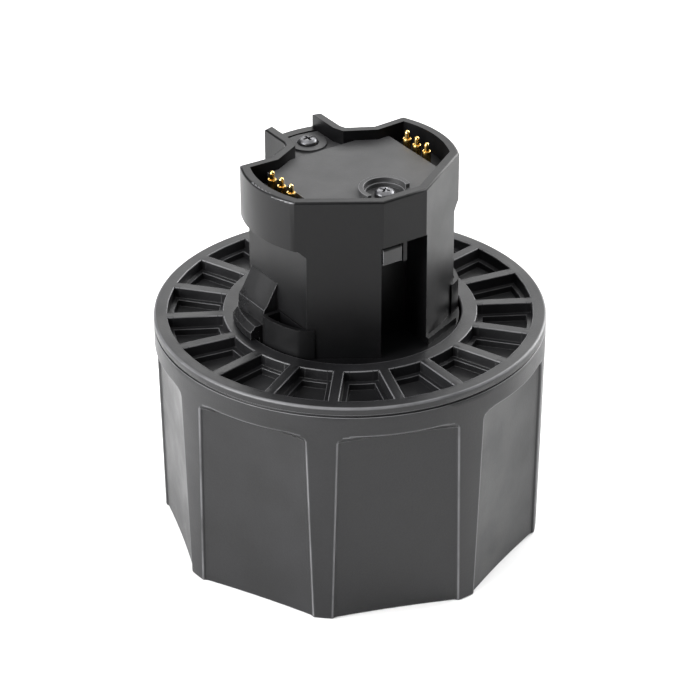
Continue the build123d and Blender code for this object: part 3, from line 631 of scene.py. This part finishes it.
grip = to_object("nut_grip", [], [])
values = {"Grip Sector": grip_sector, "Grip Count": panel_count,
          "Grip Turn": math.radians(first_rib + 180 / panel_count), "Pocket Sector": pocket_sector,
          "Pocket Count": pocket_count, "Pocket Turn": math.radians(first_pocket), "Weld": 0.005 * MM,
          "Finish": grip_nylon}
grow(grip, tree, **values)
drop(grip_sector, pocket_sector)
print("shell open edges", tidy_mesh(grip.data))
shade(grip, 50)
settle(grip, "nut", "grip_plastic", grip_nylon, "grip_shell")

# %% [markdown]
# ## The thread sleeve
# Inside the nut a pressed-in sleeve carries the coupling thread, a coarse trapezoid of 6 mm pitch.
# A thread is a section that follows a helix, so the sleeve is turned and the ridge is grown by
# a tree: a spiral curve, a rounded trapezoid, and a radius that fades to nothing at both ends,
# which is how a moulded thread runs out.

# %% Sleeve and ridge
major_r = 30.3
crest_r = 27.8
pitch = 6.0
thread_start = 5.0
thread_length = 26.0
root_width = 3.8
crest_width = 1.8
mouth_r = 31.3
mouth_depth = 1.3
run_out = 0.045  # share of the thread's length over which it fades at each end
sleeve = to_object("nut_sleeve", *turned(rounded([
    (sleeve_r - 0.02, 0.02, 0.15), (sleeve_r - 0.02, web_z - 0.02, 0), (major_r, web_z - 0.02, 0),
    (major_r, mouth_depth + 1.0, 0.3), (mouth_r, mouth_depth, 0.1), (mouth_r, 0.02, 0.15)], closed=True),
    closed=True, steps=180))

tree, given = new_tree("Thread ridge", ("Turns", "NodeSocketFloat", 4.0),
                       ("Start Height", "NodeSocketFloat", 0.0), ("Length", "NodeSocketFloat", 0.02),
                       ("Root Radius", "NodeSocketFloat", 0.03), ("Root Width", "NodeSocketFloat", 0.004),
                       ("Crest Width", "NodeSocketFloat", 0.002), ("Ridge Height", "NodeSocketFloat", 0.002),
                       ("Run-out", "NodeSocketFloat", 0.04), ("Finish", "NodeSocketMaterial", None))
spiral = add(tree, "GeometryNodeCurveSpiral", {"Resolution": 90, "Rotations": given["Turns"],
                                               "Start Radius": given["Root Radius"],
                                               "End Radius": given["Root Radius"],
                                               "Height": given["Length"]})
lift = add(tree, "ShaderNodeCombineXYZ", {"Z": given["Start Height"]})
helix = add(tree, "GeometryNodeTransform", {"Geometry": spiral.outputs[0], "Translation": lift.outputs[0]})
upright = add(tree, "GeometryNodeSetCurveNormal", {"Curve": helix.outputs[0]}, mode="Z_UP")
along = add(tree, "GeometryNodeSplineParameter")
near_end = add(tree, "ShaderNodeMath", {0: 1.0, 1: along.outputs["Factor"]}, operation="SUBTRACT")
nearest = add(tree, "ShaderNodeMath", {0: near_end.outputs[0], 1: along.outputs["Factor"]},
              operation="MINIMUM")
fade = add(tree, "ShaderNodeMapRange", {"Value": nearest.outputs[0], "From Min": 0.0,
                                        "From Max": given["Run-out"], "To Min": 0.02, "To Max": 1.0},
           interpolation_type="SMOOTHSTEP")
thin = add(tree, "GeometryNodeSetCurveRadius", {"Curve": upright.outputs[0], "Radius": fade.outputs[0]})
trapezoid = add(tree, "GeometryNodeCurvePrimitiveQuadrilateral",
                {"Bottom Width": given["Root Width"], "Top Width": given["Crest Width"], "Offset": 0.0,
                 "Height": given["Ridge Height"]}, mode="TRAPEZOID")
half_up = add(tree, "ShaderNodeMath", {0: given["Ridge Height"], 1: 0.5}, operation="MULTIPLY")
seat = add(tree, "ShaderNodeCombineXYZ", {"Y": half_up.outputs[0]})
sit = add(tree, "GeometryNodeTransform", {"Geometry": trapezoid.outputs[0],
                                          "Translation": seat.outputs[0]})
soft = add(tree, "GeometryNodeFilletCurve", {"Curve": sit.outputs[0], "Count": 4, "Radius": 0.35 * MM},
           mode="POLY")
aim = add(tree, "GeometryNodeTransform", {"Geometry": soft.outputs[0], "Rotation": (0, 0, -math.pi / 2)})
ridge = add(tree, "GeometryNodeCurveToMesh", {"Curve": thin.outputs[0], "Profile Curve": aim.outputs[0],
                                              "Fill Caps": True})
real = add(tree, "GeometryNodeRealizeInstances", {"Geometry": ridge.outputs[0]})
coat = add(tree, "GeometryNodeSetMaterial", {"Geometry": real.outputs[0], "Material": given["Finish"]})
add(tree, "NodeGroupOutput", {"Geometry": coat.outputs[0]})
ridge_piece = to_object("thread_ridge", [], [])
sunk = 0.3  # how far the ridge's root is sunk into the sleeve's wall
values = {"Turns": thread_length / pitch, "Start Height": thread_start * MM, "Length": thread_length * MM,
          "Root Radius": (major_r + sunk) * MM, "Root Width": root_width * MM,
          "Crest Width": crest_width * MM, "Ridge Height": (major_r + sunk - crest_r) * MM,
          "Run-out": run_out, "Finish": thread_nylon}
grow(ridge_piece, tree, **values)
reach = [math.hypot(v.co.x, v.co.y) / MM for v in ridge_piece.data.vertices]
print("ridge from radius", round(min(reach), 2), "to", round(max(reach), 2), "mm")
print("sleeve open edges", tidy_mesh(sleeve.data), "ridge open edges", tidy_mesh(ridge_piece.data))
for piece in (sleeve, ridge_piece):
    shade(piece, 40)
settle(sleeve, "nut", "thread_plastic", thread_nylon, "thread_sleeve")
settle(ridge_piece, "nut", "thread_plastic", thread_nylon, "thread_sleeve")

# %% [markdown]
# ## The moulded housings
# Stem, skirt, deck, clips, blocks and latch already have their right shape in the CAD model.
# What they lack is the small round that a mould leaves on every edge, which is what makes a black
# part readable at all: the edge is the only place that turns towards the light.
# A copy of each mesh is welded, its flat triangles are joined, and an angle-limited Bevel rounds the edges.
# It works in millimetres for a moment, because very small numbers upset the bevel.

# %% Softened copies
facet_bend = 0.4  # degrees between triangles that belong to one flat face
round_from = 32  # degrees at which an edge gets its round


def softened(node, name, body, slot, finish, edge):
    """A CAD piece with its edges rounded by so many millimetres, standing for its node."""
    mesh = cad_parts[node].data.copy()
    mesh.transform(Matrix.Scale(1 / MM, 4))
    work = bmesh.new()
    work.from_mesh(mesh)
    bmesh.ops.remove_doubles(work, verts=work.verts, dist=0.003)
    bmesh.ops.dissolve_limit(work, angle_limit=math.radians(facet_bend), verts=work.verts,
                             edges=work.edges)
    work.to_mesh(mesh)
    work.free()
    piece = bpy.data.objects.new(name, mesh)
    bpy.context.scene.collection.objects.link(piece)
    bevel = piece.modifiers.new("Mould round", "BEVEL")
    bevel.width = edge
    bevel.segments = 2
    bevel.limit_method = "ANGLE"
    bevel.angle_limit = math.radians(round_from)
    bevel.use_clamp_overlap = True
    bake(piece)
    piece.data.transform(Matrix.Scale(MM, 4))
    shade(piece, 44)
    return settle(piece, body, slot, finish, node)


for node, name, slot, finish, edge in (
        ("stem_housing", "plug_stem", "housing_plastic", housing_satin, 0.14),
        ("skirt_housing", "plug_skirt", "housing_plastic", housing_satin, 0.14),
        ("retaining_clips", "hub_clips", "clip_plastic", clip_nylon, 0.12),
        ("deck_cover", "plug_deck", "deck_plastic", deck_grey, 0.08),
        ("contact_block_a", "pin_block_wide", "block_plastic", block_black, 0.08),
        ("contact_block_b", "pin_block_key", "block_plastic", block_black, 0.08),
        ("socket_plate", "socket_flange", "housing_plastic", housing_satin, 0.12),
        ("socket_insert", "socket_core", "block_plastic", block_black, 0.06),
        ("socket_nut", "socket_hex", "socket_metal", satin_nickel, 0.1),
        ("face_gasket", "flange_gasket", "seal_rubber", seal_rubber, 0.12)):
    softened(node, name, "plug", slot, finish, edge)
softened("key_latch", "window_latch", "latch", "housing_plastic", clip_nylon, 0.1)
softened("slip_washer", "glide_washer", "washer", "washer_plastic", washer_acetal, 0.12)

# %% [markdown]
# ## Screws
# Eight screws of one kind hold the plug together: a low rounded head with a cross recess.
# One screw is turned, the cross is cut by a Boolean, and a tree puts it on every place.
# The places are the points of a bare mesh, and a tilt input stands the screws up or upside down.

# %% One screw
head_r = 1.9
head_height = 1.2
shank_r = 1.0
cross_length = 2.2
cross_width = 0.5
cross_depth = 0.7


def one_screw(length):
    """A screw whose head sits above z = 0 and whose shank hangs below it."""
    profile = rounded([(0, -length, 0), (shank_r * 0.6, -length, 0.2), (shank_r, -length + 0.5, 0.3),
                       (shank_r, 0, 0), (head_r - 0.1, 0, 0.1), (head_r, 0.25, 0.2),
                       (head_r * 0.93, head_height * 0.72, 0.5), (head_r * 0.55, head_height, 0.5),
                       (0, head_height, 0)])
    screw = to_object("screw_pattern", *turned(profile, steps=40))
    tidy_mesh(screw.data)
    low = head_height - cross_depth
    for turn in (0, math.pi / 2):
        points = []
        for z, share in ((low, 0.55), (head_height + 0.3, 1.0)):
            half = cross_length / 2 * share
            wide = cross_width / 2 * mix(0.75, 1.0, share)
            for x, y in ((-half, -wide), (half, -wide), (half, wide), (-half, wide)):
                points.append((x * math.cos(turn) - y * math.sin(turn),
                               x * math.sin(turn) + y * math.cos(turn), z))
        cutter = to_object("cross_arm", points, [(3, 2, 1, 0), (4, 5, 6, 7), (0, 1, 5, 4), (1, 2, 6, 5),
                                                 (2, 3, 7, 6), (3, 0, 4, 7)])
        cut = screw.modifiers.new("Cross", "BOOLEAN")
        cut.operation = "DIFFERENCE"
        cut.solver = "EXACT"
        cut.object = cutter
        bake(screw)
        drop(cutter)
    return screw


# %% The tree that puts a pattern on every place
places_tree, given = new_tree("One pattern on every place", ("Pattern", "NodeSocketObject", None),
                              ("Tilt", "NodeSocketFloat", 0.0), ("Turn Step", "NodeSocketFloat", 0.0),
                              ("Finish", "NodeSocketMaterial", None))
shape = add(places_tree, "GeometryNodeObjectInfo", {"Object": given["Pattern"]})
index = add(places_tree, "GeometryNodeInputIndex")
turn = add(places_tree, "ShaderNodeMath", {0: index.outputs[0], 1: given["Turn Step"]}, operation="MULTIPLY")
tilt = add(places_tree, "ShaderNodeCombineXYZ", {"X": given["Tilt"], "Z": turn.outputs[0]})
spots = add(places_tree, "GeometryNodeMeshToPoints", {"Mesh": given["Geometry"]})
placed = add(places_tree, "GeometryNodeInstanceOnPoints", {"Points": spots.outputs[0],
                                                           "Instance": shape.outputs["Geometry"],
                                                           "Rotation": tilt.outputs[0]})
real = add(places_tree, "GeometryNodeRealizeInstances", {"Geometry": placed.outputs[0]})
coat = add(places_tree, "GeometryNodeSetMaterial", {"Geometry": real.outputs[0],
                                                    "Material": given["Finish"]})
add(places_tree, "NodeGroupOutput", {"Geometry": coat.outputs[0]})


def put_on(name, pattern, places, body, slot, finish, node, tilt=0.0, turn_step=0.0, crease=40):
    """The pattern on each place, as one mesh that stands for a CAD node."""
    piece = to_object(name, places, [])
    grow(piece, places_tree, Pattern=pattern, Tilt=tilt, Finish=finish, **{"Turn Step": turn_step})
    open_edges = tidy_mesh(piece.data)
    shade(piece, crease)
    drop(pattern)
    print(name, "on", len(places), "places, open edges", open_edges)
    return settle(piece, body, slot, finish, node)


deck_screw_y = (13.7, -11.0)
housing_screw_r = 17.0
housing_screw_turns = (45, 135, -52, -128)  # degrees from +X
plate_screw_x = (10.25, -10.25)
deck_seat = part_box("deck_screws")[1][2] / MM - head_height
put_on("deck_screw_pair", one_screw(4.6), [(0, y, deck_seat) for y in deck_screw_y], "plug",
       "screw_steel", dark_zinc, "deck_screws", turn_step=0.6)
housing_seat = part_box("housing_screws")[0][2] / MM + head_height
put_on("housing_screw_set", one_screw(6.0), ring(housing_screw_r, housing_screw_turns, housing_seat),
       "plug", "screw_steel", dark_zinc, "housing_screws", tilt=math.pi, turn_step=0.9)
plate_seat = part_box("plate_screws")[0][2] / MM + head_height
put_on("plate_screw_pair", one_screw(5.5), [(x, 0, plate_seat) for x in plate_screw_x], "plug",
       "screw_steel", dark_zinc, "plate_screws", tilt=math.pi, turn_step=0.7)

# %% [markdown]
# ## Spring pins
# Each lobe has three spring pins: a gold-plated barrel pressed into the black block, and a plunger
# with a domed tip that a small spring pushes out. All are turned parts, so each is a profile turned
# round its axis. A barrel's rim is rolled inwards to hold the plunger. Barrels never move, so each
# lobe's three are placed by the tree. Each plunger moves by itself and stays its own piece.

# %% Barrels and plungers
barrel_r = 0.8
bore_r = 0.62
rolled_r = 0.56  # the rim's inner edge after rolling
rolled_deep = 0.25
pin_x = 14.6
pin_y = (-3.06, 0.0, 3.06)
plunger_head_r = 0.58
plunger_head_tall = 1.45
plunger_rod_r = 0.5
for letter, side in (("a", 1), ("b", -1)):
    low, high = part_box("pin_barrels_" + letter)
    z0, z1 = low[2] / MM, high[2] / MM
    profile = rounded([(barrel_r, z0, 0.1), (barrel_r, z1, 0.28), (rolled_r, z1, 0.1),
                       (rolled_r, z1 - rolled_deep, 0.05), (bore_r, z1 - 0.45, 0.05),
                       (bore_r, z0, 0.05)], closed=True)
    barrel = to_object("barrel_pattern", *turned(profile, closed=True, steps=40))
    lobe = "wide" if side == 1 else "key"
    put_on("pin_barrels_" + lobe, barrel, [(side * pin_x, y, 0) for y in pin_y], "plug",
           "contact_gold", gold_plate, "pin_barrels_" + letter)
for node in sorted(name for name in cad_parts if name.startswith("plunger_")):
    low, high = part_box(node)
    centre = Vector(((low[0] + high[0]) / 2, (low[1] + high[1]) / 2, 0)) / MM
    z0, z1 = low[2] / MM, high[2] / MM
    profile = rounded([(0, z0, 0), (plunger_head_r, z0, 0.15),
                       (plunger_head_r, z0 + plunger_head_tall, 0.1), (plunger_rod_r, z0 + 1.5, 0.05),
                       (plunger_rod_r, z1 - 0.5, 0.3), (0.3, z1 - 0.1, 0.2), (0, z1, 0)])
    points, faces = turned(profile, steps=36)
    points = [(x + centre.x, y + centre.y, z) for x, y, z in points]
    pin = to_object(node + "_pin", points, faces)
    tidy_mesh(pin.data)
    shade(pin, 40)
    settle(pin, node + "_body", "contact_gold", gold_plate, node)

# %% [markdown]
# ## Pin springs
# A small coil stands under each plunger. Its wire shape comes from the CAD, and it rides on the plug.

# %% Coils under the plungers
for node in sorted(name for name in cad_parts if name.startswith("pin_spring")):
    coil = bpy.data.objects.new(node + "_coil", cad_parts[node].data.copy())
    bpy.context.scene.collection.objects.link(coil)
    merge = bmesh.new()
    merge.from_mesh(coil.data)
    bmesh.ops.remove_doubles(merge, verts=merge.verts, dist=WELD * MM)
    merge.to_mesh(coil.data)
    merge.free()
    shade(coil, 50)
    settle(coil, "plug", "spring_steel", spring_wire, node)
    low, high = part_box(node)
    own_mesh(coil)

# %% [markdown]
# ## The round socket at the open end
# A signal lead ends in a small eight-pole socket. Its shell is a turned tube with a ledge that the black
# insert stops on, and eight tube contacts stand in the insert: seven on a circle and one in the middle.

# %% Shell and contacts
socket_r = 5.0
socket_bore_r = 4.35
insert_bore_r = 4.1
tube_r = 0.44
tube_bore_r = 0.28
tube_bore_deep = 2.5
pole_count = 7
pole_circle_r = 2.75
first_pole = 12  # degrees from +X
low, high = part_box("socket_shell")
z0, z1 = low[2] / MM, high[2] / MM
insert_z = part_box("socket_insert")[0][2] / MM
profile = rounded([(socket_r, z0, 0.25), (socket_r, z1, 0.15), (insert_bore_r, z1, 0.1),
                   (insert_bore_r, insert_z, 0.08), (socket_bore_r, insert_z, 0.08),
                   (socket_bore_r, z0, 0.3)], closed=True)
shell = to_object("socket_tube", *turned(profile, closed=True, steps=96))
print("socket tube open edges", tidy_mesh(shell.data))
shade(shell, 40)
settle(shell, "plug", "socket_metal", satin_nickel, "socket_shell")
low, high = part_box("socket_contacts")
z0, z1 = low[2] / MM, high[2] / MM
profile = rounded([(0, z0 + tube_bore_deep, 0), (tube_bore_r, z0 + tube_bore_deep, 0),
                   (tube_bore_r, z0, 0.08), (tube_r, z0, 0.08), (tube_r, z1, 0.05), (0, z1, 0)])
contact = to_object("contact_pattern", *turned(profile, steps=24))
pole_turns = [first_pole + 360 / pole_count * k for k in range(pole_count)]
spots = [(0, 0, 0)] + ring(pole_circle_r, pole_turns, 0)
put_on("socket_tubes", contact, spots, "plug", "contact_gold", gold_plate, "socket_contacts")

# %% [markdown]
# ## CAD pieces that stay as they are
# Inserts, the board, the seal, the latch pin and the inner cable are hidden or tiny.
# Their CAD shape is right, so only their material slots are filled.

# %% Finishes on carried-over pieces
for node, finish in (("deck_inserts", bare_brass), ("contact_board", board_glass),
                     ("housing_seal", seal_rubber), ("latch_pin", spring_wire),
                     ("inner_cable", cable_pvc)):
    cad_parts[node].data.materials.clear()
    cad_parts[node].data.materials.append(finish)
shown = [name for name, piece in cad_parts.items() if not piece.hide_render]
print("CAD pieces still shown", sorted(shown))

# %% [markdown]
# ## Studio
# The plug stands on its open rim on a plain white floor under a bright, even sky, with one large
# soft light above and behind it and two weaker ones at the sides. That leaves the front panels dark
# and lifts the top faces.

# %% Floor, sky and lights
floor = to_object("studio_floor", [(-1500, -1500, 0), (1500, -1500, 0), (1500, 1500, 0),
                                   (-1500, 1500, 0)], [(0, 1, 2, 3)])
paint, tree = new_material("White painted board")
place = add(tree, "ShaderNodeTexCoord").outputs["Object"]
roll = add(tree, "ShaderNodeTexNoise", {"Vector": place, "Scale": per_mm(60), "Detail": 3.0})
colour = add(tree, "ShaderNodeMix", {0: roll.outputs["Fac"], 6: linear("f4f4f4"), 7: linear("f8f8f8")},
             data_type="RGBA")
skin = add(tree, "ShaderNodeBsdfPrincipled", {"Base Color": colour.outputs[2], "Roughness": 0.8})
add(tree, "ShaderNodeOutputMaterial", {"Surface": skin.outputs[0]})
floor.data.materials.append(paint)

sky = bpy.data.worlds.new("Studio")
bpy.context.scene.world = sky
sky.use_nodes = True
sky.node_tree.nodes.clear()
glow = add(sky.node_tree, "ShaderNodeBackground", {"Color": (1, 1, 1, 1), "Strength": 0.12})
add(sky.node_tree, "ShaderNodeOutputWorld", {"Surface": glow.outputs[0]})


def soft_light(name, place, aim, wide, tall, power):
    """A rectangular studio light, in metres and watts, that looks at a point."""
    data = bpy.data.lights.new(name, "AREA")
    data.shape = "RECTANGLE"
    data.size = wide
    data.size_y = tall
    data.energy = power
    lamp = bpy.data.objects.new(name, data)
    bpy.context.scene.collection.objects.link(lamp)
    lamp.location = place
    lamp.rotation_euler = (Vector(aim) - Vector(place)).to_track_quat("-Z", "Y").to_euler()
    return lamp


centre = (0, 0, 0.036)
soft_light("overhead_panel", (0, 0.1, 1.6), centre, 2.6, 2.6, 33)
soft_light("back_panel", (0.75, 1.1, 0.85), centre, 1.4, 0.6, 9)
soft_light("left_box", (-0.9, 0.05, 0.35), centre, 0.7, 0.9, 24)
soft_light("right_box", (0.9, 0.1, 0.35), centre, 0.6, 0.9, 19)

# %% [markdown]
# ## Camera
# The object is seen from 34 degrees round and 30 degrees above, through a long lens.
# The view transform is Standard, so that white stays white and the plastics keep their contrast.

# %% Camera
turn_round = math.radians(-34)
look_down = math.radians(30)
away = Vector((math.sin(turn_round) * math.cos(look_down), -math.cos(turn_round) * math.cos(look_down),
               math.sin(look_down)))
lens = bpy.data.cameras.new("studio_camera")
lens.sensor_width = 36
lens.lens = 167
lens.clip_start = 0.05
camera = bpy.data.objects.new("studio_camera", lens)
bpy.context.scene.collection.objects.link(camera)
camera.location = Vector(centre) + away * 0.6
camera.rotation_euler = (-away).to_track_quat("-Z", "Y").to_euler()
bpy.context.scene.camera = camera
bpy.context.scene.view_settings.view_transform = "Standard"
print("camera at", [round(v, 3) for v in camera.location])
